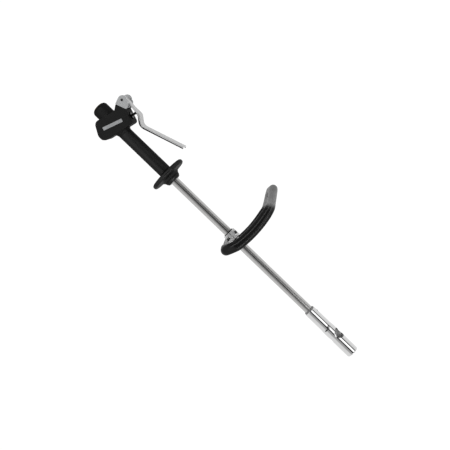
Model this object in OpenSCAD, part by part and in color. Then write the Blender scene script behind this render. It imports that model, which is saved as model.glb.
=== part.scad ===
// Long-reach compressed air lance: lever valve, grip with hand guard, tube,
// clamp-on loop handle and venturi nozzle. Millimetres.
// X runs along the tube towards the nozzle, Z towards the lever, X = 0 at the inlet mouth.

/* [Tube] */
// outside diameter of the lance tube
tube_od = 21.3; // [20.6:0.1:22]
// wall thickness of the lance tube
tube_wall = 2; // [1.5:0.1:2.6]
// where the lance tube ends inside the nozzle
tube_end = 736; // [732:1:740]

/* [Valve body] */
// lean of the valve barrel towards the nozzle, in degrees
barrel_tilt = 17.5; // [16:0.5:19]
// width of the rubber-covered body across the lever
body_w = 40; // [39:0.5:42]
// diameter of the round inlet boss
boss_d = 41; // [40:0.5:43]
// bore of the inlet thread at its crests (G 1/2)
inlet_bore = 18.63; // [18.6:0.01:18.7]

/* [Lever] */
// thickness of the lever sheet
lever_t = 2; // [1.6:0.1:2.2]
// width of the lever paddle
lever_w = 26; // [24:0.5:28]
// diameter of the lever pivot pin
pin_d = 6; // [5:0.5:6]

/* [Grip and guard] */
// diameter of the rubber grip
grip_d = 33.2; // [31:0.2:35]
// diameter of the hand guard disc
guard_d = 97; // [90:1:104]

/* [Loop handle] */
// turn of the clamp and loop about the tube, in degrees
loop_turn = 17.5; // [0:0.5:30]
// distance from the tube to the middle of each side arm
loop_half = 85; // [80:1:90]
// diameter of the side arms over the rubber
arm_d = 25.4; // [24:0.2:26]
// diameter of the top bar over the rubber
top_d = 20.4; // [20:0.2:22]
// diameter of the steel bar inside the loop
core_d = 16; // [14:0.5:16]

/* [Nozzle] */
// diameter of the front part of the venturi sleeve
nozzle_d = 31.2; // [30.6:0.1:32]
// diameter of the two side air ports
port_d = 27; // [20:0.5:27.5]

/* [Hidden] */
$fn = 64;
eps = 0.01;
tube_r = tube_od / 2;
bore_r = tube_r - tube_wall;
boss_r = boss_d / 2;
grip_r = grip_d / 2;
guard_r = guard_d / 2;
pin_r = pin_d / 2;
arm_r = arm_d / 2;
top_r = top_d / 2;
core_r = core_d / 2;
barrel_x = 61.3;       // where the barrel axis crosses the tube axis
core_bar_r = 17;       // metal barrel
core_in_r = 16;        // metal inlet stub
spigot_r = 14.5;       // metal outlet stub
socket_x = 85;         // back end of the lance tube
spigot_x = 100;        // front end of the outlet stub
grip_x = 94;           // back end of the grip sleeve
chamber_r = 12;        // valve chamber
seat_z = 4;            // back face of the valve seat, along the barrel
seat_h = 5;
gallery_r = 8;         // outlet gallery above the seat
plug_r = 13;
guide_r = 3.05;
stem_r = 3;
barrel_top = 43;       // metal barrel ends, along the barrel
barrel_foot = -43;
pivot_x = 37.1;
pivot_z = 59.9;
ear_y = 17;            // inside face of each bracket ear
ear_t = 2.5;
lever_wide = lever_w / 2;
arm_half = 9;          // half width of the lever's rear arm
clamp_x0 = 440;
clamp_x1 = 460.5;
bolt_x = 450.25;
bolt_y = 22;
liner_r = 13.2;
base_x = 463;          // bar through the clamp foot
base_z = -33.8;
arm_bow = 276;         // radius the side arms are bowed to
bow_x = 201.2;
bow_z = 38;
arm_a0 = -8.96;        // bow angle at the bottom and top of the straight-on arm
arm_a1 = 13.83;
bend_r = 30;
low_lean = 22;
top_lean = 33;
low_r = 24;            // corner radii of the loop
top_corner = 36;
taper = 5;              // straight taper between arm and top
bar_sides = 24;
nozzle_r = nozzle_d / 2;
sleeve_r = 14.6;
nozzle_x0 = 713;
nozzle_x1 = 858;
mix_r = 13.2;
port_x = 799;
port_turn = 70;        // degrees above the -Y side

function unit(v) = v / norm(v);
function arc_pts(p0, p1, p2, r, n) =
    let (
        a = unit(p0 - p1),
        b = unit(p2 - p1),
        half = acos(a * b) / 2,
        d = r / tan(half),
        c = p1 + unit(a + b) * (r / sin(half)),
        s = p1 + a * d - c,
        e = p1 + b * d - c,
        a0 = atan2(s[1], s[0]),
        raw = atan2(e[1], e[0]) - a0,
        sweep = raw > 180 ? raw - 360 : raw < -180 ? raw + 360 : raw
    )
    [for (i = [0:n]) c + r * [cos(a0 + sweep * i / n), sin(a0 + sweep * i / n)]];
function soft_poly(v, n) =
    let (m = len(v))
    [for (i = [0:m - 1])
        let (p0 = v[(i + m - 1) % m], p1 = v[i], p2 = v[(i + 1) % m])
        each arc_pts([p0[0], p0[1]], [p1[0], p1[1]], [p2[0], p2[1]], p1[2], n)];

module about_x() {
    rotate([0, 90, 0]) rotate_extrude() children();
}

module tube_x(x0, x1, r) {
    translate([x0, 0, 0]) rotate([0, 90, 0]) cylinder(r = r, h = x1 - x0);
}

module ring_x(x0, x1, r0, r1) {
    difference() {
        tube_x(x0, x1, r1);
        tube_x(x0 - 1, x1 + 1, r0);
    }
}

module bar_y(x, z, y0, y1, r) {
    translate([x, y1, z]) rotate([90, 0, 0]) cylinder(r = r, h = y1 - y0);
}

module barrel() {
    translate([barrel_x, 0, 0]) rotate([0, barrel_tilt, 0]) children();
}

// on the sloping seat of the lever bracket, Z square to it
module lug_frame() {
    translate([46.6, 0, 42.2]) rotate([0, -19.3, 0]) children();
}

module loop_frame() {
    rotate([-loop_turn, 0, 0]) children();
}

// ---- valve body ----

body_v = [
    [-19.5, 46.8, 2.5], [19.8, 44.9, 7], [22, -45, 15], [3, -48.5, 16],
    [-29.6, -39.5, 13], [-29.6, 20.7, 4], [-40.6, 30.5, 2]
];

module body_outer() {
    intersection() {
        barrel() translate([0, body_w / 2, 0]) rotate([90, 0, 0])
            linear_extrude(body_w) polygon(soft_poly(body_v, 6));
        barrel() translate([0, 0, -60]) linear_extrude(120)
            polygon(soft_poly([
                [-45, -body_w / 2, 7], [23, -body_w / 2, 7],
                [23, body_w / 2, 7], [-45, body_w / 2, 7]
            ], 6));
    }
}

module boss_outer() {
    about_x() union() {
        translate([0, 10]) square([boss_r, 41]);
        square([boss_r - 10, 12]);
        translate([boss_r - 10, 10]) circle(r = 10);
    }
}

// lug under the lever bracket, standing square to the ridge
module lug_block() {
    lug_frame()
        translate([-11, -13, -9]) cube([20, 26, 13]);
}

module body_metal() {
    union() {
        barrel() translate([0, 0, barrel_foot])
            cylinder(r = core_bar_r, h = barrel_top - barrel_foot);
        tube_x(3, barrel_x, core_in_r);
        tube_x(barrel_x, spigot_x, spigot_r);
        lug_block();
    }
}

module outlet_drill() {
    p = [66, 22];
    q = [88, 2];
    d = q - p;
    translate([p[0], 0, p[1]]) rotate([0, atan2(d[0], d[1]), 0])
        cylinder(r = 4, h = norm(d) - 3);
}

module valve_body() {
    color([0.62, 0.63, 0.65]) difference() {
        body_metal();
        barrel() translate([0, 0, barrel_foot - 1]) cylinder(r = plug_r, h = 10);
        barrel() translate([0, 0, barrel_foot + 8]) cylinder(r = chamber_r, h = 9 + 35);
        barrel() translate([0, 0, seat_z + seat_h - eps]) cylinder(r = gallery_r, h = 21);
        barrel() translate([0, 0, 20]) cylinder(r = guide_r, h = 40);
        barrel() translate([0, 0, 36]) cylinder(r = gallery_r, h = 20);
        tube_x(2, 26, 13);
        tube_x(20, 52, 7);
        outlet_drill();
        tube_x(81, 86, 8);
        tube_x(socket_x, spigot_x + 1, tube_r);
        bar_y(socket_x + 8, 0, -20, 20, 1.5);
        lug_screws(2.5);
    }
}

module body_cover() {
    color([0.13, 0.13, 0.14]) difference() {
        union() {
            body_outer();
            boss_outer();
            tube_x(barrel_x, grip_x, grip_r);
            // soft shoulders between the body and the grip
            about_x() polygon([
                [0, 70], [19.5, 70], [19.5, 80], [17.6, 83], [grip_r, 87], [0, 87]
            ]);
            intersection() {
                about_x() polygon([
                    [0, 80], [20, 80], [20, 88.4], [18, 90.6], [grip_r, grip_x], [0, grip_x]
                ]);
                translate([60, -30, 0]) cube([60, 60, 30]);
            }
        }
        body_metal();
        barrel() translate([0, 0, 40]) cylinder(r = 9.2, h = 20);
        tube_x(-1, 5, 13);
        bracket_space();
    }
}

module name_plate() {
    color([0.62, 0.62, 0.65]) barrel() translate([-2.6, 0, -1]) rotate([0, 5.2, 0])
        translate([0, -body_w / 2, 0]) rotate([90, 0, 0]) linear_extrude(0.8)
            polygon(soft_poly([[-4.1, -27, 1], [4.1, -27, 1], [4.1, 27, 1], [-4.1, 27, 1]], 5));
}

module inlet_bushing() {
    color([0.76, 0.6, 0.32]) difference() {
        tube_x(0, 26, 13);
        tube_x(-1, 18, inlet_bore / 2);
        tube_x(17, 27, 7);
    }
}

module valve_seat() {
    color([0.92, 0.92, 0.88]) barrel() difference() {
        translate([0, 0, seat_z]) cylinder(r = chamber_r, h = seat_h);
        translate([0, 0, seat_z - 1]) cylinder(r = 6, h = seat_h + 2);
    }
}

module poppet() {
    color([0.76, 0.6, 0.32]) barrel() difference() {
        union() {
            translate([0, 0, seat_z - 7.3]) cylinder(r = 9, h = 5);
            translate([0, 0, seat_z - 12.3]) cylinder(r = 5, h = 6);
        }
        translate([0, 0, seat_z - 13.3]) cylinder(r = stem_r, h = 12);
    }
}

module poppet_seal() {
    color([0.1, 0.1, 0.1]) barrel() difference() {
        translate([0, 0, seat_z - 2.3]) cylinder(r = 8.6, h = 2);
        translate([0, 0, seat_z - 3]) cylinder(r = stem_r, h = 4);
    }
}

// stack of rings joined by short risers stands for the coil
module valve_spring() {
    color([0.7, 0.7, 0.72]) barrel() union() {
        for (i = [0:6])
            translate([0, 0, -33.1 + 4.81 * i]) rotate_extrude()
                translate([7.4, 0]) circle(r = 0.9);
        for (i = [0:5])
            rotate([0, 0, 140 * i]) translate([7.4, 0, -33.1 + 4.81 * i])
                cylinder(r = 0.75, h = 4.81);
    }
}

module valve_stem() {
    color([0.16, 0.16, 0.17]) barrel() union() {
        translate([0, 0, seat_z - 12.3]) cylinder(r = stem_r, h = 59 + 12.3 - seat_z);
        translate([0, 0, 58]) cylinder(r = 4.6, h = 4);
        intersection() {
            translate([0, 0, 54.8]) sphere(r = 8.4);
            translate([0, 0, 60]) cylinder(r = 4.6, h = 4);
        }
    }
}

module stem_seal() {
    color([0.1, 0.1, 0.1]) barrel() difference() {
        translate([0, 0, 36]) cylinder(r = 6.4, h = 2.4);
        translate([0, 0, 35]) cylinder(r = guide_r, h = 4);
    }
}

module gland_nut() {
    color([0.76, 0.6, 0.32]) barrel() difference() {
        union() {
            translate([0, 0, 38.4]) cylinder(r = gallery_r, h = 6);
            translate([0, 0, barrel_top]) cylinder(r = 8.8, h = 4.6, $fn = 6);
        }
        translate([0, 0, 37]) cylinder(r = guide_r, h = 12);
    }
}

module end_plug() {
    color([0.62, 0.63, 0.65]) barrel() difference() {
        translate([0, 0, barrel_foot]) cylinder(r = plug_r, h = 9);
        translate([0, 0, barrel_foot - 1]) cylinder(r = 4.6, h = 5, $fn = 6);
        translate([0, 0, barrel_foot + 6.6]) difference() {
            cylinder(r = plug_r + 1, h = 2);
            translate([0, 0, -1]) cylinder(r = 10.6, h = 4);
        }
    }
}

module plug_seal() {
    color([0.1, 0.1, 0.1]) barrel() translate([0, 0, barrel_foot + 6.6]) difference() {
        cylinder(r = plug_r, h = 2);
        translate([0, 0, -1]) cylinder(r = 10.6, h = 4);
    }
}

// ---- lever and bracket ----

// lower part of a bracket ear in X, Z; a round head about the pivot completes it
ear_v = [
    [31.5, 41.22, 0.6], [27.2, 55.4, 2], [33, 66, 2], [50.5, 67.6, 5], [57.6, 60.5, 5],
    [58.8, 50.82, 0.6]
];

module ear() {
    rotate([90, 0, 0]) linear_extrude(ear_t) union() {
        polygon(soft_poly(ear_v, 5));
        translate([pivot_x + 1, pivot_z + 0.6]) circle(r = 11.4);
    }
}

module bracket_floor() {
    lug_frame()
        translate([-11, -ear_y - 1, 4]) cube([22, 2 * ear_y + 2, 2.5]);
}

module bracket_space() {
    lug_frame()
        translate([-16, -30, 4]) cube([32, 60, 20]);
}

module lug_screws(r) {
    lug_frame()
        for (y = [-8.5, 8.5])
            translate([0, y, -7]) cylinder(r = r, h = 14);
}

module lever_bracket() {
    color([0.62, 0.62, 0.65]) difference() {
        union() {
            translate([0, -ear_y, 0]) ear();
            translate([0, ear_y + ear_t, 0]) ear();
            bracket_floor();
        }
        bar_y(pivot_x, pivot_z, -30, 30, pin_r);
        lug_screws(2.7);
    }
}

module bracket_screws() {
    color([0.7, 0.7, 0.72]) union() {
        lug_screws_solid();
    }
}

module lug_screws_solid() {
    lug_frame()
        for (y = [-8.5, 8.5]) translate([0, y, 0]) difference() {
            union() {
                translate([0, 0, -7]) cylinder(r = 2.5, h = 13.5);
                translate([0, 0, 6.5]) cylinder(r = 4.2, h = 2.4);
            }
            translate([0, 0, 7.4]) cylinder(r = 1.9, h = 3, $fn = 6);
        }
}

module pivot_pin() {
    color([0.55, 0.55, 0.57]) difference() {
        union() {
            bar_y(pivot_x, pivot_z, -ear_y - ear_t - 0.7, ear_y + ear_t + 0.7, pin_r);
            bar_y(pivot_x, pivot_z, ear_y + ear_t, ear_y + ear_t + 1.4, pin_r + 1);
        }
        bar_y(pivot_x, pivot_z, -ear_y - ear_t - 2, -ear_y - ear_t + 1.3, 1.8);
    }
}

module lever_bush() {
    color([0.9, 0.9, 0.86]) difference() {
        bar_y(pivot_x, pivot_z, -ear_y + 0.3, ear_y - 0.3, pin_r + 1.5);
        bar_y(pivot_x, pivot_z, -30, 30, pin_r + 0.05);
    }
}

// side outline of the lever's top surface, X and Z of the web
lev_top = [
    [29.5, 59.5], [30.2, 63.5], [33, 66.6], [37, 67.6], [46, 66.2], [68, 63.4], [86, 62.6],
    [91.5, 61.6], [95, 58.8], [104.6, 50.6], [108.5, 48.2], [113, 47.3], [118, 47.6],
    [221, 80.1]
];

function lev_n(i) =
    let (
        m = len(lev_top) - 1,
        a = lev_top[max(i - 1, 0)],
        b = lev_top[min(i + 1, m)],
        t = unit(b - a)
    )
    [t[1], -t[0]];
function lev_off(d) = [for (i = [0:len(lev_top) - 1]) lev_top[i] + d * lev_n(i)];

module lev_band(d) {
    far = lev_off(d);
    m = len(lev_top);
    rotate([90, 0, 0]) translate([0, 0, -20]) linear_extrude(40)
        polygon(concat(lev_top, [for (i = [0:m - 1]) far[m - 1 - i]]));
}

// plan outline of one lever edge, w in from the outside
function lev_edge(w) = [
    [20, arm_half - w], [66, arm_half - w], [84, lever_wide - w], [240, lever_wide - w]
];

module lever() {
    e0 = lev_edge(0);
    e1 = lev_edge(lever_t);
    color([0.82, 0.82, 0.84]) difference() {
        union() {
            intersection() {
                lev_band(lever_t);
                linear_extrude(120) polygon(concat(
                    e0, [for (i = [0:3]) [e0[3 - i][0], -e0[3 - i][1]]]));
            }
            for (s = [0, 1]) mirror([0, s, 0]) {
                intersection() {
                    lev_band(3.4);
                    linear_extrude(120) polygon(concat(e0, [for (i = [0:3]) e1[3 - i]]));
                }
                intersection() {
                    lev_band(5.4);
                    translate([87, lever_wide - lever_t, 0]) cube([153, lever_t, 120]);
                }
                // hub plates around the pivot
                bar_y(pivot_x, pivot_z, arm_half - lever_t, arm_half, 7.4);
            }
        }
        bar_y(pivot_x, pivot_z, -30, 30, pin_r + 1.5);
    }
}

// ---- tube, grip and guard ----

module lance_tube() {
    color([0.72, 0.72, 0.74]) difference() {
        ring_x(socket_x, tube_end, bore_r, tube_r);
        bar_y(socket_x + 8, 0, -20, 20, 1.5);
    }
}

module tube_pin() {
    color([0.6, 0.6, 0.62]) bar_y(socket_x + 8, 0, -spigot_r + 0.4, spigot_r - 0.4, 1.5);
}

module grip_sleeve() {
    color([0.13, 0.13, 0.14]) difference() {
        tube_x(grip_x, 226, grip_r);
        tube_x(90, spigot_x, spigot_r);
        tube_x(90, 230, tube_r);
    }
}

module hand_guard() {
    color([0.16, 0.16, 0.17]) about_x() difference() {
        union() {
            polygon([
                [tube_r, 226], [18, 226], [27, 228.3], [guard_r - 5.6, 229.8],
                [guard_r - 5.6, 241], [35, 241.2], [28, 242.6], [24, 244.8], [21.5, 248.2],
                [21.5, 249], [tube_r, 249]
            ]);
            translate([guard_r - 5.6, 235.4]) circle(r = 5.6);
        }
    }
}

module guard_collar() {
    color([0.16, 0.16, 0.17]) about_x() difference() {
        polygon([
            [tube_r, 249], [21.2, 249], [21.2, 250.2], [20.2, 250.6], [20.2, 251.4],
            [21, 251.8], [17.2, 256.7], [16.4, 257.5], [tube_r, 257.5]
        ]);
    }
}

// ---- clamp and loop handle ----

module clamp_liner() {
    color([0.09, 0.09, 0.1]) difference() {
        ring_x(clamp_x0 - 2.4, clamp_x1 + 2.4, tube_r + 0.05, liner_r);
        loop_frame() translate([clamp_x0 - 10, -0.6, 0]) cube([50, 1.2, 20]);
    }
}

module clamp_cap() {
    color([0.8, 0.8, 0.82]) loop_frame() difference() {
        union() {
            intersection() {
                tube_x(clamp_x0, clamp_x1, liner_r + 3.2);
                translate([0, -20, 0.6]) cube([500, 40, 20]);
            }
            translate([clamp_x0, -29, 0.6]) cube([clamp_x1 - clamp_x0, 58, 8.4]);
        }
        tube_x(400, 500, liner_r + 0.05);
        for (y = [-bolt_y, bolt_y])
            translate([bolt_x, y, -1]) cylinder(r = 4.2, h = 20);
    }
}

module clamp_base() {
    color([0.78, 0.78, 0.8]) loop_frame() difference() {
        union() {
            intersection() {
                tube_x(clamp_x0, clamp_x1, liner_r + 3.2);
                translate([0, -20, -20.6]) cube([500, 40, 20]);
            }
            translate([clamp_x0, -29, -7]) cube([clamp_x1 - clamp_x0, 58, 6.4]);
            translate([0, 14, 0]) rotate([90, 0, 0]) linear_extrude(28) polygon([
                [clamp_x0 + 1, -6], [clamp_x0 + 6, -22], [base_x - 10, base_z - 3],
                [base_x + 6, base_z + 2], [clamp_x1 + 6, base_z + 11], [clamp_x1, -6]
            ]);
            bar_y(base_x, base_z, -16, 16, core_r + 4);
        }
        tube_x(400, 500, liner_r + 0.05);
        bar_y(base_x, base_z, -30, 30, core_r);
        for (y = [-bolt_y, bolt_y])
            translate([bolt_x, y, -20]) cylinder(r = 4.2, h = 30);
    }
}

module clamp_bolts() {
    color([0.75, 0.75, 0.77]) loop_frame() for (y = [-bolt_y, bolt_y])
        translate([bolt_x, y, 0]) union() {
            translate([0, 0, -17.5]) cylinder(r = 4, h = 27);
            translate([0, 0, 9]) cylinder(r = 8.4, h = 1.6);
            translate([0, 0, 10.6]) cylinder(r = 7.2, h = 5.2, $fn = 6);
        }
}

module clamp_washers() {
    color([0.72, 0.72, 0.74]) loop_frame() for (y = [-bolt_y, bolt_y])
        translate([bolt_x, y, -8.6]) difference() {
            cylinder(r = 7.4, h = 1.6);
            translate([0, 0, -1]) cylinder(r = 4.2, h = 4);
        }
}

module clamp_nuts() {
    color([0.75, 0.75, 0.77]) loop_frame() for (y = [-bolt_y, bolt_y])
        translate([bolt_x, y, -15.4]) difference() {
            cylinder(r = 7.2, h = 6.8, $fn = 6);
            translate([0, 0, -1]) cylinder(r = 4, h = 9);
        }
}

// Centre line of the loop, one half at a time. Each entry is [point, 0 for arm or 1 for top].
p1 = [bow_x + arm_bow * cos(arm_a1), bow_z + arm_bow * sin(arm_a1)];
c1 = p1 - bend_r * [cos(arm_a1), sin(arm_a1)];
q1 = c1 + bend_r * [cos(top_lean), sin(top_lean)];
p0 = [bow_x + arm_bow * cos(arm_a0), bow_z + arm_bow * sin(arm_a0)];
c0 = p0 - bend_r * [cos(arm_a0), sin(arm_a0)];
q0 = c0 + bend_r * [cos(low_lean), -sin(low_lean)];
up = [-sin(top_lean), 0, cos(top_lean)];
down = [-sin(low_lean), 0, -cos(low_lean)];
low_c = [q0[0], low_r - loop_half, q0[1]];
top_c = [q1[0], top_corner - loop_half, q1[1]] + taper * up;

function side_arc(c, r, a0, a1, n) =
    [for (i = [1:n])
        let (a = a0 + (a1 - a0) * i / n)
        [[c[0] + r * cos(a), -loop_half, c[1] + r * sin(a)], 0]];
function turn_arc(c, r, d, a0, a1, n, k) =
    [for (i = [0:n])
        let (a = a0 + (a1 - a0) * i / n)
        [c + r * ([0, -cos(a), 0] + d * sin(a)), k]];
function half_path(gap) = concat(
    [[low_c + low_r * down + [0, -gap - low_c[1], 0], 0]],
    turn_arc(low_c, low_r, down, 90, 0, 7, 0),
    side_arc(c0, bend_r, -low_lean, arm_a0, 2),
    side_arc([bow_x, bow_z], arm_bow, arm_a0, arm_a1, 9),
    side_arc(c1, bend_r, arm_a1, top_lean, 3),
    turn_arc(top_c, top_corner, up, 0, 90, 9, 1)
);
function flip_y(p) = [p[0], -p[1], p[2]];
function loop_path(gap) =
    let (h = half_path(gap), m = len(h))
    concat(h, [for (i = [0:m - 1]) [flip_y(h[m - 1 - i][0]), h[m - 1 - i][1]]]);
function ring_at(p, t, r) =
    let (a = unit(cross(t, [1, 0, 0])), b = cross(t, a))
    [for (k = [0:bar_sides - 1])
        p + r * (a * cos(360 * k / bar_sides) + b * sin(360 * k / bar_sides))];
function rings(path, r0, r1) =
    let (m = len(path))
    [for (i = [0:m - 1])
        let (
            prev = path[max(i - 1, 0)][0],
            next = path[min(i + 1, m - 1)][0],
            t = i == 0 || i == m - 1 ? [0, -1, 0] : unit(next - prev)
        )
        each ring_at(path[i][0], t, path[i][1] == 1 ? r1 : r0)];

// skin between ring i and ring j; turned inside out when inner is 1
function skin(i, j, base, inner) =
    [for (k = [0:bar_sides - 1])
        let (
            n = (k + 1) % bar_sides,
            a = base + i * bar_sides + k,
            b = base + i * bar_sides + n,
            c = base + j * bar_sides + n,
            d = base + j * bar_sides + k
        )
        each inner == 1 ? [[a, b, c], [a, c, d]] : [[a, c, b], [a, d, c]]];

module loop_core() {
    path = loop_path(4);
    m = len(path);
    pts = rings(path, core_r, core_r);
    color([0.6, 0.6, 0.62]) loop_frame() polyhedron(
        points = pts,
        faces = [for (i = [0:m - 1]) each skin(i, (i + 1) % m, 0, 0)],
        convexity = 6
    );
}

module loop_sleeve() {
    path = loop_path(16.4);
    m = len(path);
    outer = rings(path, arm_r, top_r);
    inner = rings(path, core_r, core_r);
    base = m * bar_sides;
    color([0.12, 0.12, 0.13]) loop_frame() polyhedron(
        points = concat(outer, inner),
        faces = concat(
            [for (i = [0:m - 2]) each skin(i, i + 1, 0, 0)],
            [for (i = [0:m - 2]) each skin(i, i + 1, base, 1)],
            [for (k = [0:bar_sides - 1])
                let (n = (k + 1) % bar_sides)
                each [[k, n, base + n], [k, base + n, base + k]]],
            [for (k = [0:bar_sides - 1])
                let (n = (k + 1) % bar_sides, o = (m - 1) * bar_sides)
                each [[o + n, o + k, base + o + k], [o + n, base + o + k, base + o + n]]]
        ),
        convexity = 6
    );
}

// ---- nozzle ----

module nozzle_ring() {
    color([0.12, 0.12, 0.12]) about_x() difference() {
        polygon([
            [tube_r, 708.8], [12.2, 708.8], [13.2, 710.2], [13.2, 713], [tube_r, 713]
        ]);
    }
}

module jet_holder() {
    color([0.76, 0.6, 0.32]) about_x() polygon([
        [4.5, 722], [bore_r, 722], [bore_r, 726.5], [7.2, 726.5], [7.2, 729], [bore_r, 729],
        [bore_r, tube_end], [mix_r, tube_end], [mix_r, 743], [9.5, 746], [9.5, 752], [4.5, 752]
    ]);
}

module jet_seal() {
    color([0.1, 0.1, 0.1]) about_x() polygon([
        [7.2, 726.5], [bore_r, 726.5], [bore_r, 729], [7.2, 729]
    ]);
}

module jet_tip() {
    color([0.8, 0.8, 0.82]) about_x() polygon([
        [3, 744], [4.5, 744], [4.5, 752], [7.5, 752], [7.5, 760], [4.6, 772], [2.2, 772],
        [2.2, 766], [3, 764]
    ]);
}

module venturi_sleeve() {
    color([0.86, 0.86, 0.88]) difference() {
        about_x() union() {
            polygon([
                [tube_r, nozzle_x0], [sleeve_r - 1, nozzle_x0], [sleeve_r, nozzle_x0 + 1],
                [sleeve_r, 764], [nozzle_r, 776], [nozzle_r, nozzle_x1 - 2],
                [nozzle_r - 1.2, nozzle_x1], [mix_r + 0.4, nozzle_x1],
                [mix_r, nozzle_x1 - 0.4], [mix_r, tube_end], [tube_r, tube_end]
            ]);
        }
        rotate([-port_turn, 0, 0]) translate([port_x, 30, 0]) rotate([90, 0, 0])
            cylinder(r = port_d / 2, h = 60);
        // spanner slot on the near side
        translate([773, -10, 0]) union() {
            translate([-1.6, -10, -5]) cube([3.2, 10, 9]);
            for (z = [-5, 4])
                translate([0, 0, z]) rotate([90, 0, 0]) cylinder(r = 1.6, h = 10);
        }
        for (a = [0, 180])
            rotate([a, 0, 0]) translate([724, 0, 0]) cylinder(r = 2, h = 20);
    }
}

module sleeve_screws() {
    color([0.5, 0.5, 0.52]) for (a = [0, 180])
        rotate([a, 0, 0]) translate([724, 0, tube_r]) difference() {
            cylinder(r = 2, h = sleeve_r - tube_r - 0.4);
            translate([0, 0, 1.4]) cylinder(r = 1.1, h = 4, $fn = 6);
        }
}

valve_body();
body_cover();
name_plate();
inlet_bushing();
valve_seat();
poppet();
poppet_seal();
valve_spring();
valve_stem();
stem_seal();
gland_nut();
end_plug();
plug_seal();
lever_bracket();
bracket_screws();
pivot_pin();
lever();
lever_bush();
lance_tube();
tube_pin();
grip_sleeve();
hand_guard();
guard_collar();
clamp_liner();
clamp_cap();
clamp_base();
clamp_bolts();
clamp_nuts();
clamp_washers();
loop_core();
loop_sleeve();
nozzle_ring();
jet_holder();
jet_seal();
jet_tip();
venturi_sleeve();
sleeve_screws();
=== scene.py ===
import math

import bmesh
import bpy
from mathutils import Matrix, Vector


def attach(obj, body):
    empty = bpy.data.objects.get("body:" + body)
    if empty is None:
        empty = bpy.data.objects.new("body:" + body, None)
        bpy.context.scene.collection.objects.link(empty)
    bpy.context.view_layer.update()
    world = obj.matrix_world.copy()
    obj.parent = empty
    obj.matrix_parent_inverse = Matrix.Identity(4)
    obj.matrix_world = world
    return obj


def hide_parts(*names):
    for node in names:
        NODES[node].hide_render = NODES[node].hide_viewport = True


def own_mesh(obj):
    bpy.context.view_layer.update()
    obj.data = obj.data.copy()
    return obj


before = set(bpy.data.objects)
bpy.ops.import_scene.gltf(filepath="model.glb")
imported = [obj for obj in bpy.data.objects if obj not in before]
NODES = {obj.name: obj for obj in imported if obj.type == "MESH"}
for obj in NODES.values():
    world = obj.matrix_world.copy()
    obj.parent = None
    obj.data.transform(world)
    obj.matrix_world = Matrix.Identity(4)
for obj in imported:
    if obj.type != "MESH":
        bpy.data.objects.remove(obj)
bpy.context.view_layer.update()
MM = 0.001

# Sizes shared with the CAD part, in millimetres and degrees unless a line says otherwise
TILT = math.radians(17.5)         # lean of the valve barrel
BARREL_X = 61.3                   # where the barrel axis crosses the tube axis
LOOP_TURN = math.radians(17.5)    # turn of the loop about the tube
LOOP_HALF = 85.0                  # tube axis to the middle of a side arm
ARM_R, TOP_R, CORE_R = 12.7, 10.2, 8.0         # radii of arm, crossbar and inner bar
ARM_BOW, BOW_X, BOW_Z = 276.0, 201.2, 38.0     # the arm's long curve and its centre
ARM_A0, ARM_A1 = -8.96, 13.83     # bow angles where the arm's long curve starts and ends
BEND_R, LOW_LEAN, TOP_LEAN = 30.0, 22.0, 33.0  # bend at each end of it, and leans beyond
LOW_R, TOP_CORNER, TAPER = 24.0, 36.0, 5.0     # corner radii, and the straight between
FOOT_GAP = 16.6                   # half the opening in the rubber over the clamp foot
END_FACE, END_EDGE, END_STEP = 1.2, 0.3, 0.4   # rounding of the rubber's two ends
CORE_GAP = 0.02                   # rubber to the bar inside it
TAPER_Z, TAPER_H = 88.0, 42.0     # height where the loop starts to thin, and over how much
SHEEN_Z = 102.0                    # height where the painted highlight over the loop's top stretch begins
PORT_BORE_R = 14.2                # inside this radius the nozzle has its satin finish, darker metal that also paints the shade inside the port
SLOT_X, SLOT_HALF, SLOT_R = 773, 3.5, 15.0   # spanner slot: middle, half width, reach


# ---------------------------------------------------------------- mesh helpers

def add_mesh(name, verts, faces):
    """A smooth-shaded object from vertices in millimetres."""
    me = bpy.data.meshes.new(name)
    me.from_pydata([tuple(c * MM for c in v) for v in verts], [], faces)
    me.validate()
    ob = bpy.data.objects.new(name, me)
    bpy.context.scene.collection.objects.link(ob)
    bm = bmesh.new()
    bm.from_mesh(me)
    bmesh.ops.recalc_face_normals(bm, faces=bm.faces)
    bm.to_mesh(me)
    bm.free()
    for p in me.polygons:
        p.use_smooth = True
    return ob


def fillet(points, n=5):
    """Points are (a, b, radius); returns the polyline with rounded corners."""
    out = []
    m = len(points)
    for i in range(m):
        p0 = Vector(points[i - 1][:2])
        p1 = Vector(points[i][:2])
        p2 = Vector(points[(i + 1) % m][:2])
        r = points[i][2]
        if r <= 0:
            out.append(tuple(p1))
            continue
        a, b = (p0 - p1).normalized(), (p2 - p1).normalized()
        half = a.angle(b) / 2
        d = r / math.tan(half)
        c = p1 + (a + b).normalized() * (r / math.sin(half))
        s, e = p1 + a * d - c, p1 + b * d - c
        a0 = math.atan2(s.y, s.x)
        sweep = math.atan2(e.y, e.x) - a0
        sweep = (sweep + math.pi) % (2 * math.pi) - math.pi
        for k in range(n + 1):
            t = a0 + sweep * k / n
            out.append((c.x + r * math.cos(t), c.y + r * math.sin(t)))
    return out


def lathe(name, profile, segs):
    """A closed profile of (x, r) turned about the X axis."""
    verts, faces = [], []
    n = len(profile)
    for k in range(segs):
        a = 2 * math.pi * k / segs
        verts += [(x, r * math.cos(a), r * math.sin(a)) for x, r in profile]
    for k in range(segs):
        k2 = (k + 1) % segs
        for i in range(n):
            j = (i + 1) % n
            faces.append((k * n + i, k * n + j, k2 * n + j, k2 * n + i))
    return add_mesh(name, verts, faces)


def sharp_by_angle(ob, degrees=35):
    """Mark the edges that turn by more than this angle as sharp."""
    me = ob.data
    bm = bmesh.new()
    bm.from_mesh(me)
    limit = math.radians(degrees)
    for e in bm.edges:
        e.smooth = len(e.link_faces) == 2 and e.calc_face_angle(0) < limit
    bm.to_mesh(me)
    bm.free()


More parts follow.
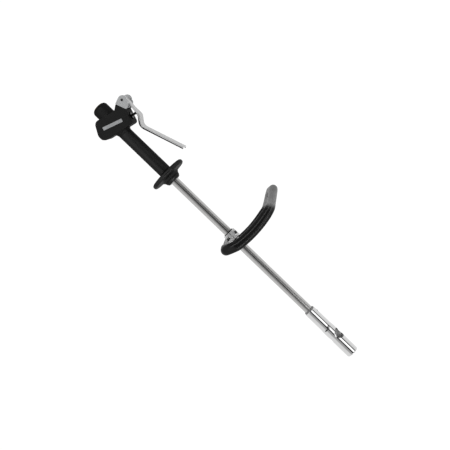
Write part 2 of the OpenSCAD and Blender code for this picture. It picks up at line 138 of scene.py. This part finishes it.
def copy_of(node, name):
    """A new piece that starts from a CAD node's shape; the node itself isn't touched."""
    ob = bpy.data.objects.new(name, NODES[node].data.copy())
    ob.data.materials.clear()
    bpy.context.scene.collection.objects.link(ob)
    bm = bmesh.new()
    bm.from_mesh(ob.data)
    bmesh.ops.remove_doubles(bm, verts=bm.verts, dist=2e-6)
    bmesh.ops.recalc_face_normals(bm, faces=bm.faces)
    bm.to_mesh(ob.data)
    bm.free()
    if ob.data.has_custom_normals:
        bpy.context.view_layer.objects.active = ob
        ob.select_set(True)
        bpy.ops.mesh.customdata_custom_splitnormals_clear()
        ob.select_set(False)
    for p in ob.data.polygons:
        p.use_smooth = True
    return ob


def bevelled(node, name, width, segments=2, angle=32):
    """Copy of a node with its hard edges rounded by width, in mm."""
    ob = copy_of(node, name)
    bm = bmesh.new()
    bm.from_mesh(ob.data)
    bmesh.ops.dissolve_limit(
        bm, angle_limit=math.radians(1.0), verts=bm.verts, edges=bm.edges,
        delimit={"NORMAL"})
    bm.to_mesh(ob.data)
    bm.free()
    b = ob.modifiers.new("edges", "BEVEL")
    b.width = width * MM
    b.segments = segments
    b.limit_method = "ANGLE"
    b.angle_limit = math.radians(angle)
    b.harden_normals = False
    b.use_clamp_overlap = True
    w = ob.modifiers.new("normals", "WEIGHTED_NORMAL")
    w.keep_sharp = True
    return ob


def apply_modifiers(ob):
    dg = bpy.context.evaluated_depsgraph_get()
    me = bpy.data.meshes.new_from_object(ob.evaluated_get(dg))
    ob.modifiers.clear()
    ob.data = me
    for p in me.polygons:
        p.use_smooth = True


def softened(node, name, voxel, rounds):
    """Copy of a node with rounded, moulded-looking edges."""
    ob = copy_of(node, name)
    r = ob.modifiers.new("remesh", "REMESH")
    r.mode = "VOXEL"
    r.voxel_size = voxel * MM
    r.adaptivity = 0
    s = ob.modifiers.new("soften", "SMOOTH")
    s.factor = 0.5
    s.iterations = rounds
    apply_modifiers(ob)
    return ob


# ---------------------------------------------------------------- material helpers

def set_stops(ramp, stops):
    """Give a colour ramp its stops, each (position, colour), from low to high."""
    el = ramp.color_ramp.elements
    el[0].position, el[0].color = stops[0][0], (*stops[0][1], 1)
    el[1].position, el[1].color = stops[-1][0], (*stops[-1][1], 1)
    for pos, col in stops[1:-1]:
        el.new(pos).color = (*col, 1)


class Mat:
    """A small wrapper round one node material."""

    def __init__(self, name):
        self.mat = bpy.data.materials.new(name)
        self.mat.use_nodes = True
        self.nt = self.mat.node_tree
        self.bsdf = self.nt.nodes["Principled BSDF"]
        self.coord = self.nt.nodes.new("ShaderNodeTexCoord").outputs["Object"]

    def put(self, socket, value):
        self.bsdf.inputs[socket].default_value = value

    def mapping(self, scale):
        n = self.nt.nodes.new("ShaderNodeMapping")
        n.inputs["Scale"].default_value = scale
        self.nt.links.new(self.coord, n.inputs["Vector"])
        return n.outputs["Vector"]

    def noise(self, scale, detail=3.0, rough=0.5, stretch=(1, 1, 1)):
        n = self.nt.nodes.new("ShaderNodeTexNoise")
        n.inputs["Scale"].default_value = scale
        n.inputs["Detail"].default_value = detail
        n.inputs["Roughness"].default_value = rough
        self.nt.links.new(self.mapping(stretch), n.inputs["Vector"])
        return n.outputs["Fac"]

    def ramp(self, source, stops):
        n = self.nt.nodes.new("ShaderNodeValToRGB")
        set_stops(n, stops)
        self.nt.links.new(source, n.inputs["Fac"])
        return n.outputs["Color"]

    def spread(self, source, low, high):
        n = self.nt.nodes.new("ShaderNodeMapRange")
        n.inputs["To Min"].default_value = low
        n.inputs["To Max"].default_value = high
        self.nt.links.new(source, n.inputs["Value"])
        return n.outputs["Result"]

    def add(self, a, b, gain):
        """a plus gain times b."""
        n = self.nt.nodes.new("ShaderNodeMath")
        n.operation = "MULTIPLY_ADD"
        self.nt.links.new(b, n.inputs[0])
        n.inputs[1].default_value = gain
        self.nt.links.new(a, n.inputs[2])
        return n.outputs[0]

    def scaled(self, a, gain, offset):
        """gain times a, plus offset."""
        n = self.nt.nodes.new("ShaderNodeMath")
        n.operation = "MULTIPLY_ADD"
        self.nt.links.new(a, n.inputs[0])
        n.inputs[1].default_value = gain
        n.inputs[2].default_value = offset
        return n.outputs[0]

    def link(self, source, socket):
        self.nt.links.new(source, self.bsdf.inputs[socket])

    def bump(self, source, strength, distance):
        n = self.nt.nodes.new("ShaderNodeBump")
        n.inputs["Strength"].default_value = strength
        n.inputs["Distance"].default_value = distance * MM
        self.nt.links.new(source, n.inputs["Height"])
        self.nt.links.new(n.outputs["Normal"], self.bsdf.inputs["Normal"])


def with_painted_light(base, attribute, stops):
    """Copy of a material whose colour follows stops along a value stored on the mesh, used to
    paint light and shade onto it.
    """
    mat = base.copy()
    nt = mat.node_tree
    bsdf = nt.nodes["Principled BSDF"]
    att = nt.nodes.new("ShaderNodeAttribute")
    att.attribute_name = attribute
    ramp = nt.nodes.new("ShaderNodeValToRGB")
    set_stops(ramp, stops)
    nt.links.new(att.outputs["Fac"], ramp.inputs["Fac"])
    mix = nt.nodes.new("ShaderNodeMix")
    mix.data_type = "RGBA"
    mix.blend_type = "MULTIPLY"
    mix.inputs["Factor"].default_value = 1.0
    old = bsdf.inputs["Base Color"].links[0].from_socket
    nt.links.new(old, mix.inputs[6])
    nt.links.new(ramp.outputs["Color"], mix.inputs[7])
    nt.links.new(mix.outputs[2], bsdf.inputs["Base Color"])
    return mat


def store(ob, name, values):
    """Keep one number per vertex on the mesh, under this attribute name."""
    att = ob.data.attributes.new(name, "FLOAT", "POINT")
    att.data.foreach_set("value", values)


def grey(v, warm=0.0):
    """A grey as a colour, leaning to red for a positive warm and to blue for a negative one."""
    return (v * (1 + warm), v, v * (1 - warm))


def rubber(name, dark, light, rough, grain=1800, depth=0.06, spec=0.5):
    """Moulded rubber or plastic: fine grain, faint mottling, and gloss that fades at the rim."""
    m = Mat(name)
    broad = m.noise(35, 4, 0.6)
    m.link(m.ramp(broad, [(0.3, dark), (0.7, light)]), "Base Color")
    patches = m.noise(90, 3, 0.55)
    m.link(m.spread(patches, rough - 0.07, rough + 0.07), "Roughness")
    m.bump(m.add(m.noise(grain, 2, 0.5), m.noise(grain * 0.23, 2), 0.6), 0.35, depth)
    facing = m.nt.nodes.new("ShaderNodeLayerWeight")
    facing.inputs["Blend"].default_value = 0.5
    gloss = m.ramp(facing.outputs["Facing"], [
        (0.0, grey(spec)), (0.06, grey(spec * 0.9)), (0.20, grey(spec * 0.35)),
        (0.45, grey(spec * 0.1)), (1.0, grey(0))])
    m.link(gloss, "Specular IOR Level")
    return m.mat


def metal(name, dark, light, rough, spread=0.06, scratch=(1, 1, 1), scale=500, depth=0.01,
          strength=0.2, metallic=1.0, patch=40):
    """Bare or plated metal: scratches along one way, cloudy tone and uneven polish."""
    m = Mat(name)
    cloud = m.noise(patch, 4, 0.6)
    lines = m.noise(scale, 3, 0.6, scratch)
    m.link(m.ramp(m.add(cloud, lines, 0.35), [(0.45, dark), (0.9, light)]), "Base Color")
    m.link(m.spread(lines, rough - spread, rough + spread), "Roughness")
    m.put("Metallic", metallic)
    m.bump(lines, strength, depth)
    return m.mat


MAT = {
    "cover": rubber("cover_rubber", grey(0.004), grey(0.008), 0.42, 1500, 0.04, 0.40),
    "grip": rubber("grip_rubber", grey(0.004), grey(0.007), 0.40, 1500, 0.04, 0.75),
    "guard": rubber("guard_plastic", grey(0.006), grey(0.010), 0.38, 2200, 0.03, 0.80),
    # the loop's black rubber turns grey up its top stretch: a painted highlight, brightest just
    # above the bend and weaker on the crossbar
    "loop": with_painted_light(rubber("loop_rubber", grey(0.16), grey(0.21), 0.28, 1300, 0.015, 0.6),
                  "lean", [(0.0, grey(0.045)), (0.16, grey(0.30)), (0.34, grey(2.4)),
                           (0.75, grey(1.9)), (1.0, grey(1.1))]),
    "liner": rubber("liner_plastic", grey(0.006), grey(0.010), 0.5, 1800, 0.03),
    "seal": rubber("seal_rubber", grey(0.010), grey(0.016), 0.5, 2500, 0.02),
    "white_plastic": rubber("seat_plastic", grey(0.66, 0.02), grey(0.74, 0.02), 0.35, 2500,
                            0.02),
    "bracket": metal("bracket_finish", grey(0.74, -0.015), grey(0.82, -0.015), 0.42, 0.05,
                     (1, 1, 1), 900, 0.02, 0.12, 0.25),
    "lever": metal("lever_zinc", grey(0.57), grey(0.63), 0.34, 0.05, (0.15, 1, 1), 900, 0.01,
                   0.2, 0.6),
    "tube": metal("tube_stainless", grey(0.56, 0.01), grey(0.62, 0.01), 0.27, 0.03,
                  (0.03, 1, 1), 900, 0.002, 0.05),
    # the clamp's near-white colour: bright metal, lightened further as a painted highlight in
    # place of the reflections of a chromed casting
    "clamp": metal("clamp_metal", grey(0.94), grey(0.99), 0.32, 0.06, (1, 1, 1), 300, 0.01,
                   0.05, 0.12),
    "bore": metal("bore_satin_and_shade", grey(0.42), grey(0.50), 0.60, 0.08, (0.1, 1, 1), 800, 0.01,
                  0.2),
    "ring": rubber("ring_rubber", grey(0.30), grey(0.36), 0.42, 2500, 0.02, 0.3),
    "chrome": metal("nozzle_chrome", grey(0.80), grey(0.86), 0.07, 0.03, (1, 0.1, 0.1), 700,
                    0.002, 0.08),
    "screw": metal("screw_zinc", grey(0.52), grey(0.64), 0.28, 0.07, (1, 1, 1), 1500, 0.01,
                   0.2),
    "pin": metal("pin_steel", grey(0.07), grey(0.11), 0.36, 0.06, (1, 1, 1), 1500, 0.01, 0.2),
    "black_steel": metal("stem_blackened", grey(0.02), grey(0.035), 0.32, 0.06, (1, 1, 0.1),
                         1500, 0.01, 0.2),
    "brass": metal("brass", (0.62, 0.44, 0.18), (0.74, 0.55, 0.25), 0.24, 0.06, (1, 0.2, 0.2),
                   900, 0.01, 0.2),
    "alloy": metal("body_alloy", grey(0.55), grey(0.64), 0.36, 0.07, (1, 1, 1), 700, 0.02,
                   0.3),
    "plate": metal("plate_silver", grey(0.56, -0.02), grey(0.66, -0.02), 0.38, 0.05,
                   (1, 1, 0.05), 1600, 0.006, 0.25, 0.55),
}
# painted highlight on the lever's side walls and painted shadow along their lower rim
MAT["lever"] = with_painted_light(MAT["lever"], "wall_shade_depth", [
    (0.0, grey(1.0)), (0.08, grey(1.0)), (0.16, grey(2.0)), (0.48, grey(2.0)),
    (0.56, grey(0.04)), (1.0, grey(0.03))])


def finish(ob, material, body, nodes):
    """Material of a piece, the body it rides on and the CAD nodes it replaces."""
    ob.data.materials.clear()
    ob.data.materials.append(MAT[material])
    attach(ob, body)
    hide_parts(*nodes)
    return ob


# ---------------------------------------------------------------- valve body and grip

cover = softened("body_cover", "cover_moulding", 0.7, 7)
finish(cover, "cover", "lance", ["body_cover"])

plate = bevelled("name_plate", "blank_plate", 0.25)
finish(plate, "plate", "lance", ["name_plate"])

grip = lathe("grip_rubber_tube", fillet([
    (93.2, 10.75, 0), (93.2, 16.55, 0), (225.9, 16.55, 0.8), (225.9, 10.75, 0)], 6), 128)
sharp_by_angle(grip)
finish(grip, "grip", "lance", ["grip_sleeve"])

guard = lathe("guard_disc", fillet([
    (226, 10.7, 0), (226, 17.4, 1.0), (227.4, 26, 8), (229.6, 43, 5), (229.9, 48.4, 5.3),
    (241.0, 48.4, 5.3), (241.2, 36, 20), (243.2, 26, 9), (248.6, 21.4, 1.2), (249, 20.6, 0),
    (249, 10.7, 0)], 8), 192)
sharp_by_angle(guard)
finish(guard, "guard", "lance", ["hand_guard"])

collar = lathe("guard_collar_nut", fillet([
    (249, 10.7, 0), (249, 21.1, 0.4), (250.3, 21.1, 0.3), (250.6, 20.2, 0.3),
    (251.4, 20.2, 0.3), (251.8, 20.9, 0.4), (257.0, 17.0, 0.8), (257.5, 16.0, 0.4),
    (257.5, 10.7, 0)], 4), 160)
sharp_by_angle(collar)
finish(collar, "guard", "lance", ["guard_collar"])

# ---------------------------------------------------------------- lever group

# top surface of the lever seen from the side, and the height of its side walls
LEVER_TOP = [
    (29.5, 59.5), (30.2, 63.5), (33, 66.6), (37, 67.6), (46, 66.2), (68, 63.4), (86, 62.6),
    (91.5, 61.6), (95, 58.8), (104.6, 50.6), (108.5, 48.2), (113, 47.3), (118, 47.6),
    (221, 80.1)]
LEVER_DEPTH = 5.4


def below_top(x, z):
    """Distance in mm from the lever's top surface in its side view."""
    p = Vector((x, z))
    best = 1e9
    for a, b in zip(LEVER_TOP, LEVER_TOP[1:]):
        a, b = Vector(a), Vector(b)
        t = min(max((p - a).dot(b - a) / (b - a).length_squared, 0.0), 1.0)
        best = min(best, (p - a.lerp(b, t)).length)
    return best


finish(bevelled("lever_bracket", "bracket_pressing", 0.5, 3), "bracket", "lance",
       ["lever_bracket"])
lever = bevelled("lever", "lever_channel", 0.45, 2, 28)
apply_modifiers(lever)
# depth down the lever's side wall, which sets where its painted highlight and painted shadow
# fall
store(lever, "wall_shade_depth", [
    below_top(v.co.x / MM, v.co.z / MM) / LEVER_DEPTH for v in lever.data.vertices])
finish(lever, "lever", "lever_arm", ["lever"])
finish(bevelled("pivot_pin", "pivot_rivet", 0.3), "pin", "lance", ["pivot_pin"])
finish(bevelled("valve_stem", "stem_rod", 0.3), "black_steel", "spindle", ["valve_stem"])

# ---------------------------------------------------------------- poppet spring

SPRING_LOW, SPRING_HIGH = -34.0, -3.35   # along the barrel, in mm
SPRING_R, WIRE_R, SPRING_TURNS = 7.4, 0.9, 7.5
barrel_dir = Vector((math.sin(TILT), 0, math.cos(TILT)))
barrel_side = Vector((math.cos(TILT), 0, -math.sin(TILT)))
barrel_foot = Vector((BARREL_X, 0, 0))


def coil_spring():
    """Open coil with one closed turn at each end, round in section."""
    per_turn, sides = 28, 10
    n = int(SPRING_TURNS * per_turn)
    low, high = SPRING_LOW + WIRE_R, SPRING_HIGH - WIRE_R
    closed = 2.05 * WIRE_R
    verts, faces = [], []
    for i in range(n + 1):
        turns = SPRING_TURNS * i / n
        if turns < 1:
            z = low + closed * turns
        elif turns > SPRING_TURNS - 1:
            z = high - closed * (SPRING_TURNS - turns)
        else:
            t = (turns - 1) / (SPRING_TURNS - 2)
            z = low + closed + (high - low - 2 * closed) * t
        a = 2 * math.pi * turns
        out = barrel_side * math.cos(a) + Vector((0, 1, 0)) * math.sin(a)
        mid = barrel_foot + barrel_dir * z + out * SPRING_R
        for k in range(sides):
            b = 2 * math.pi * k / sides
            verts.append(mid + (out * math.cos(b) + barrel_dir * math.sin(b)) * WIRE_R)
    for i in range(n):
        for k in range(sides):
            k2 = (k + 1) % sides
            faces.append((i * sides + k, i * sides + k2, (i + 1) * sides + k2,
                          (i + 1) * sides + k))
    faces.append(tuple(range(sides)))
    faces.append(tuple(n * sides + k for k in reversed(range(sides))))
    return add_mesh("poppet_spring_coil", verts, faces)


spring = finish(coil_spring(), "screw", "lance", ["valve_spring"])
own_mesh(spring)

# ---------------------------------------------------------------- loop handle

def loop_points(gap):
    """Centre line of the loop with a radius at each point, from one foot to the other."""
    def side(c, r, a0, a1, n):
        pts = []
        for i in range(1, n + 1):
            a = math.radians(a0 + (a1 - a0) * i / n)
            pts.append(Vector((c[0] + r * math.cos(a), -LOOP_HALF, c[1] + r * math.sin(a))))
        return pts

    def polar(c, r, a):
        return (c[0] + r * math.cos(math.radians(a)), c[1] + r * math.sin(math.radians(a)))

    def turn(c, r, d, a0, a1, n):
        pts = []
        for i in range(n + 1):
            a = math.radians(a0 + (a1 - a0) * i / n)
            pts.append(c + r * (Vector((0, -math.cos(a), 0)) + d * math.sin(a)))
        return pts

    p1 = polar((BOW_X, BOW_Z), ARM_BOW, ARM_A1)
    c1 = polar(p1, -BEND_R, ARM_A1)
    q1 = polar(c1, BEND_R, TOP_LEAN)
    p0 = polar((BOW_X, BOW_Z), ARM_BOW, ARM_A0)
    c0 = polar(p0, -BEND_R, ARM_A0)
    q0 = polar(c0, BEND_R, -LOW_LEAN)
    lean, low = math.radians(TOP_LEAN), math.radians(LOW_LEAN)
    up = Vector((-math.sin(lean), 0, math.cos(lean)))
    down = Vector((-math.sin(low), 0, -math.cos(low)))
    low_c = Vector((q0[0], LOW_R - LOOP_HALF, q0[1]))
    top_c = Vector((q1[0], TOP_CORNER - LOOP_HALF, q1[1])) + up * TAPER
    foot = low_c + down * LOW_R
    pts = [Vector((foot.x, -gap - i * 8, foot.z)) for i in range(5)]
    pts += turn(low_c, LOW_R, down, 90, 0, 14)
    pts += side(c0, BEND_R, -LOW_LEAN, ARM_A0, 4)
    pts += side((BOW_X, BOW_Z), ARM_BOW, ARM_A0, ARM_A1, 26)
    pts += side(c1, BEND_R, ARM_A1, TOP_LEAN, 8)
    pts += turn(top_c, TOP_CORNER, up, 0, 90, 20)
    pts += [Vector((pts[-1].x, y, pts[-1].z)) for y in (-36.0, -24.0, -12.0)]
    whole = pts + [Vector((pts[-1].x, 0, pts[-1].z))]
    whole += [Vector((p.x, -p.y, p.z)) for p in reversed(pts)]
    return whole


def smooth_path(pts, rounds):
    for _ in range(rounds):
        pts = [pts[0]] + [
            (pts[i - 1] + 2 * pts[i] + pts[i + 1]) / 4 for i in range(1, len(pts) - 1)
        ] + [pts[-1]]
    return pts


def ease(t):
    t = min(max(t, 0.0), 1.0)
    return t * t * (3 - 2 * t)


def arm_radius(p):
    """Thick along the arms, thinner where the bar leans back over the top."""
    t = ease((p.z - TAPER_Z) / TAPER_H)
    return ARM_R + (TOP_R - ARM_R) * t


turn_loop = Matrix.Rotation(-LOOP_TURN, 4, "X")


def ring(p, tangent, r, sides):
    a = tangent.cross(Vector((1, 0, 0))).normalized()
    b = tangent.cross(a)
    return [
        p + r * (a * math.cos(2 * math.pi * k / sides) + b * math.sin(2 * math.pi * k / sides))
        for k in range(sides)
    ]


def loop_grip():
    """The rubber of the loop: rings along its path, with a rounded end at each foot."""
    sides = 40
    path = smooth_path(loop_points(FOOT_GAP), 2)
    n = len(path)
    rows = []
    for i, p in enumerate(path):
        t = (path[min(i + 1, n - 1)] - path[max(i - 1, 0)]).normalized()
        rows.append((p, t, arm_radius(p)))
    p0, t0, r0 = rows[0]
    p1, t1, r1 = rows[-1]
    stations = [(p0, t0, CORE_R + CORE_GAP), (p0, t0, r0 - END_FACE),
                (p0 + t0 * END_STEP, t0, r0 - END_EDGE)]
    stations += rows[1:-1]
    stations += [(p1 - t1 * END_STEP, t1, r1 - END_EDGE), (p1, t1, r1 - END_FACE),
                 (p1, t1, CORE_R + CORE_GAP)]
    verts, faces = [], []
    for p, t, r in stations:
        verts += [turn_loop @ v for v in ring(p, t, r, sides)]
    for i in range(len(stations) - 1):
        for k in range(sides):
            k2 = (k + 1) % sides
            faces.append((i * sides + k, i * sides + k2, (i + 1) * sides + k2,
                          (i + 1) * sides + k))
    ob = add_mesh("loop_grip_skin", verts, faces)
    # how far up the stretch of painted highlight each point is, 0 at its foot and 1 at the
    # crossbar
    top_z = max(p.z for p, _, _ in stations)
    store(ob, "lean", [
        (p.z - SHEEN_Z) / (top_z - SHEEN_Z) for p, _, _ in stations for _ in range(sides)])
    return ob


finish(loop_grip(), "loop", "handle", ["loop_sleeve"])

for name in ("clamp_cap", "clamp_base"):
    finish(bevelled(name, name + "_casting", 1.1, 3), "clamp", "handle", [name])
finish(bevelled("clamp_bolts", "clamp_bolt_heads", 0.6, 3), "screw", "handle",
       ["clamp_bolts"])
finish(bevelled("clamp_nuts", "clamp_nut_hex", 0.4, 2), "screw", "handle", ["clamp_nuts"])

# ---------------------------------------------------------------- nozzle

nozzle = bevelled("venturi_sleeve", "venturi_tube", 0.35, 3)
apply_modifiers(nozzle)
finish(nozzle, "chrome", "lance", ["venturi_sleeve"])
# the bore and the spanner slot get the darker satin metal: an unplated finish, and painted shade
# in these recesses
nozzle.data.materials.append(MAT["bore"])
for poly in nozzle.data.polygons:
    c = poly.center / MM
    n = poly.normal
    radius = math.hypot(c.y, c.z)
    outward = (n.y * c.y + n.z * c.z) / max(radius, 1e-6)
    inside = radius < PORT_BORE_R and outward < 0.3
    in_slot = radius < SLOT_R and abs(c.x - SLOT_X) < SLOT_HALF
    if inside or in_slot:
        poly.material_index = 1

# ---------------------------------------------------------------- CAD nodes kept as they are

KEPT = {
    "valve_body": "alloy", "inlet_bushing": "brass", "valve_seat": "white_plastic",
    "poppet": "brass", "poppet_seal": "seal", "stem_seal": "seal",
    "gland_nut": "black_steel", "end_plug": "alloy", "plug_seal": "seal",
    "bracket_screws": "screw",
    "lever_bush": "white_plastic", "lance_tube": "tube", "tube_pin": "screw",
    "clamp_liner": "liner", "clamp_washers": "screw", "loop_core": "alloy",
    "nozzle_ring": "ring", "jet_holder": "brass", "jet_seal": "seal", "jet_tip": "screw",
    "sleeve_screws": "pin",
}
for node, material in KEPT.items():
    NODES[node].data.materials.clear()
    NODES[node].data.materials.append(MAT[material])

# ---------------------------------------------------------------- stage

# metres
FLOOR_Z, FLOOR_SIZE = -0.26, 8
FLOOR_GLOW = 1.05
bm = bmesh.new()
bmesh.ops.create_grid(bm, x_segments=1, y_segments=1, size=FLOOR_SIZE)
me = bpy.data.meshes.new("floor")
bm.to_mesh(me)
bm.free()
floor = bpy.data.objects.new("floor", me)
floor.location = (0.4, 0, FLOOR_Z)
bpy.context.scene.collection.objects.link(floor)
fm = Mat("pale_floor")
fm.put("Base Color", (0, 0, 0, 1))
fm.put("Specular IOR Level", 0.0)
split = fm.nt.nodes.new("ShaderNodeSeparateXYZ")
fm.nt.links.new(fm.coord, split.inputs[0])
graded = fm.ramp(fm.scaled(split.outputs["Y"], 0.5, 0.5), [
    (0.0, grey(0.36)), (0.27, grey(0.42)), (0.34, grey(0.74)), (1.0, grey(0.80))])
# seen directly the floor is white; in reflections its near side is darker
white = fm.nt.nodes.new("ShaderNodeMix")
white.data_type = "RGBA"
fm.nt.links.new(fm.nt.nodes.new("ShaderNodeLightPath").outputs["Is Camera Ray"],
                white.inputs["Factor"])
fm.nt.links.new(graded, white.inputs[6])
white.inputs[7].default_value = (1, 1, 1, 1)
fm.link(white.outputs[2], "Emission Color")
fm.put("Emission Strength", FLOOR_GLOW)
me.materials.append(fm.mat)

# ---------------------------------------------------------------- camera

VIEW_TILT = math.radians(17.5)    # how far the camera looks down on the object
VIEW_UP = Vector((0, math.sin(VIEW_TILT), math.cos(VIEW_TILT)))
BACK = Vector((0, -math.cos(VIEW_TILT), math.sin(VIEW_TILT)))
ROLL = math.radians(43.906)
CAM_TARGET = Vector((420.3, 0, 7.6)) * MM
CAM_DIST = 1.782
SENSOR, LENS = 36, 58.8
across = Vector((1, 0, 0))
right = across * math.cos(ROLL) + VIEW_UP * math.sin(ROLL)
up = -across * math.sin(ROLL) + VIEW_UP * math.cos(ROLL)
cam_data = bpy.data.cameras.new("camera")
cam_data.sensor_width = SENSOR
cam_data.lens = LENS
cam = bpy.data.objects.new("camera", cam_data)
bpy.context.scene.collection.objects.link(cam)
m = Matrix((right, up, BACK)).transposed().to_4x4()
m.translation = CAM_TARGET + BACK * CAM_DIST
cam.matrix_world = m
cam_data.clip_start, cam_data.clip_end = 0.05, 50
bpy.context.scene.camera = cam

# ---------------------------------------------------------------- light

world = bpy.data.worlds.new("studio")
bpy.context.scene.world = world
world.use_nodes = True
nt = world.node_tree
nt.nodes.clear()
sky = nt.nodes.new("ShaderNodeTexCoord")


def dot_with(vec):
    """How far each direction of the sky leans towards this one."""
    n = nt.nodes.new("ShaderNodeVectorMath")
    n.operation = "DOT_PRODUCT"
    nt.links.new(sky.outputs["Generated"], n.inputs[0])
    n.inputs[1].default_value = vec
    return n.outputs["Value"]


angle = nt.nodes.new("ShaderNodeMath")
angle.operation = "ARCTAN2"
nt.links.new(dot_with(VIEW_UP), angle.inputs[0])
nt.links.new(dot_with(BACK), angle.inputs[1])
turn_part = nt.nodes.new("ShaderNodeMath")
turn_part.operation = "MULTIPLY_ADD"
turn_part.inputs[1].default_value = 1 / (2 * math.pi)
turn_part.inputs[2].default_value = 0.5
nt.links.new(angle.outputs[0], turn_part.inputs[0])
strips = nt.nodes.new("ShaderNodeValToRGB")
# brightness of the light tent by angle above the line from the object to the camera
TENT = [(-180, 0.95), (-100, 0.90), (-60, 0.80), (-47, 0.48), (-18, 0.40), (-13, 0.01),
        (14, 0.01), (20, 0.34), (38, 0.34), (42, 0.02), (54, 0.02), (61, 0.72), (105, 0.80),
        (180, 0.95)]
set_stops(strips, [(0.5 + deg / 360, grey(v)) for deg, v in TENT])
nt.links.new(turn_part.outputs[0], strips.inputs["Fac"])
env = nt.nodes.new("ShaderNodeBackground")
env.inputs["Strength"].default_value = 1.0
nt.links.new(strips.outputs["Color"], env.inputs["Color"])
# seen directly the sky is plain white
BACKDROP = 1.1
plain = nt.nodes.new("ShaderNodeBackground")
plain.inputs["Color"].default_value = (1, 1, 1, 1)
plain.inputs["Strength"].default_value = BACKDROP
ray = nt.nodes.new("ShaderNodeLightPath")
mix = nt.nodes.new("ShaderNodeMixShader")
nt.links.new(ray.outputs["Is Camera Ray"], mix.inputs["Fac"])
nt.links.new(env.outputs[0], mix.inputs[1])
nt.links.new(plain.outputs[0], mix.inputs[2])
out = nt.nodes.new("ShaderNodeOutputWorld")
nt.links.new(mix.outputs[0], out.inputs["Surface"])


def softbox(name, centre, aim, size, power, upright=False):
    """A rectangular card facing aim, long side along the tube or, if upright, across it."""
    data = bpy.data.lights.new(name, "AREA")
    data.shape = "RECTANGLE"
    data.size, data.size_y = size
    data.energy = power
    ob = bpy.data.objects.new(name, data)
    bpy.context.scene.collection.objects.link(ob)
    ob.location = centre
    ob.rotation_mode = "QUATERNION"
    z = (Vector(centre) - Vector(aim)).normalized()
    x = VIEW_UP.cross(z) if upright else across
    y = z.cross(x).normalized()
    ob.rotation_quaternion = Matrix((y.cross(z), y, z)).transposed().to_quaternion()
    ob.visible_camera = False


# a tall white card that only the polished nozzle mirrors
STRIP = math.radians(23)
strip_dir = BACK * math.cos(STRIP) + VIEW_UP * math.sin(STRIP)
NOZZLE_AIM = (1.02, 0, 0)
softbox("nozzle_card", Vector(NOZZLE_AIM) + strip_dir, NOZZLE_AIM, (0.34, 0.60), 0.75)

# two upright cards that draw the long highlights down the loop
LOOP_AIM = (0.47, 0, 0)
CARD_DIST = 2.0
UPRIGHT_SIZE = (0.25, 1.4)
for name, degrees, power in (("loop_card_right", 60, 6.5), ("loop_card_left", -38, 3.4)):
    a = math.radians(degrees)
    place = Vector(LOOP_AIM) + (BACK * math.cos(a) + across * math.sin(a)) * CARD_DIST
    softbox(name, place, LOOP_AIM, UPRIGHT_SIZE, power, True)

bpy.context.scene.view_settings.view_transform = "Standard"
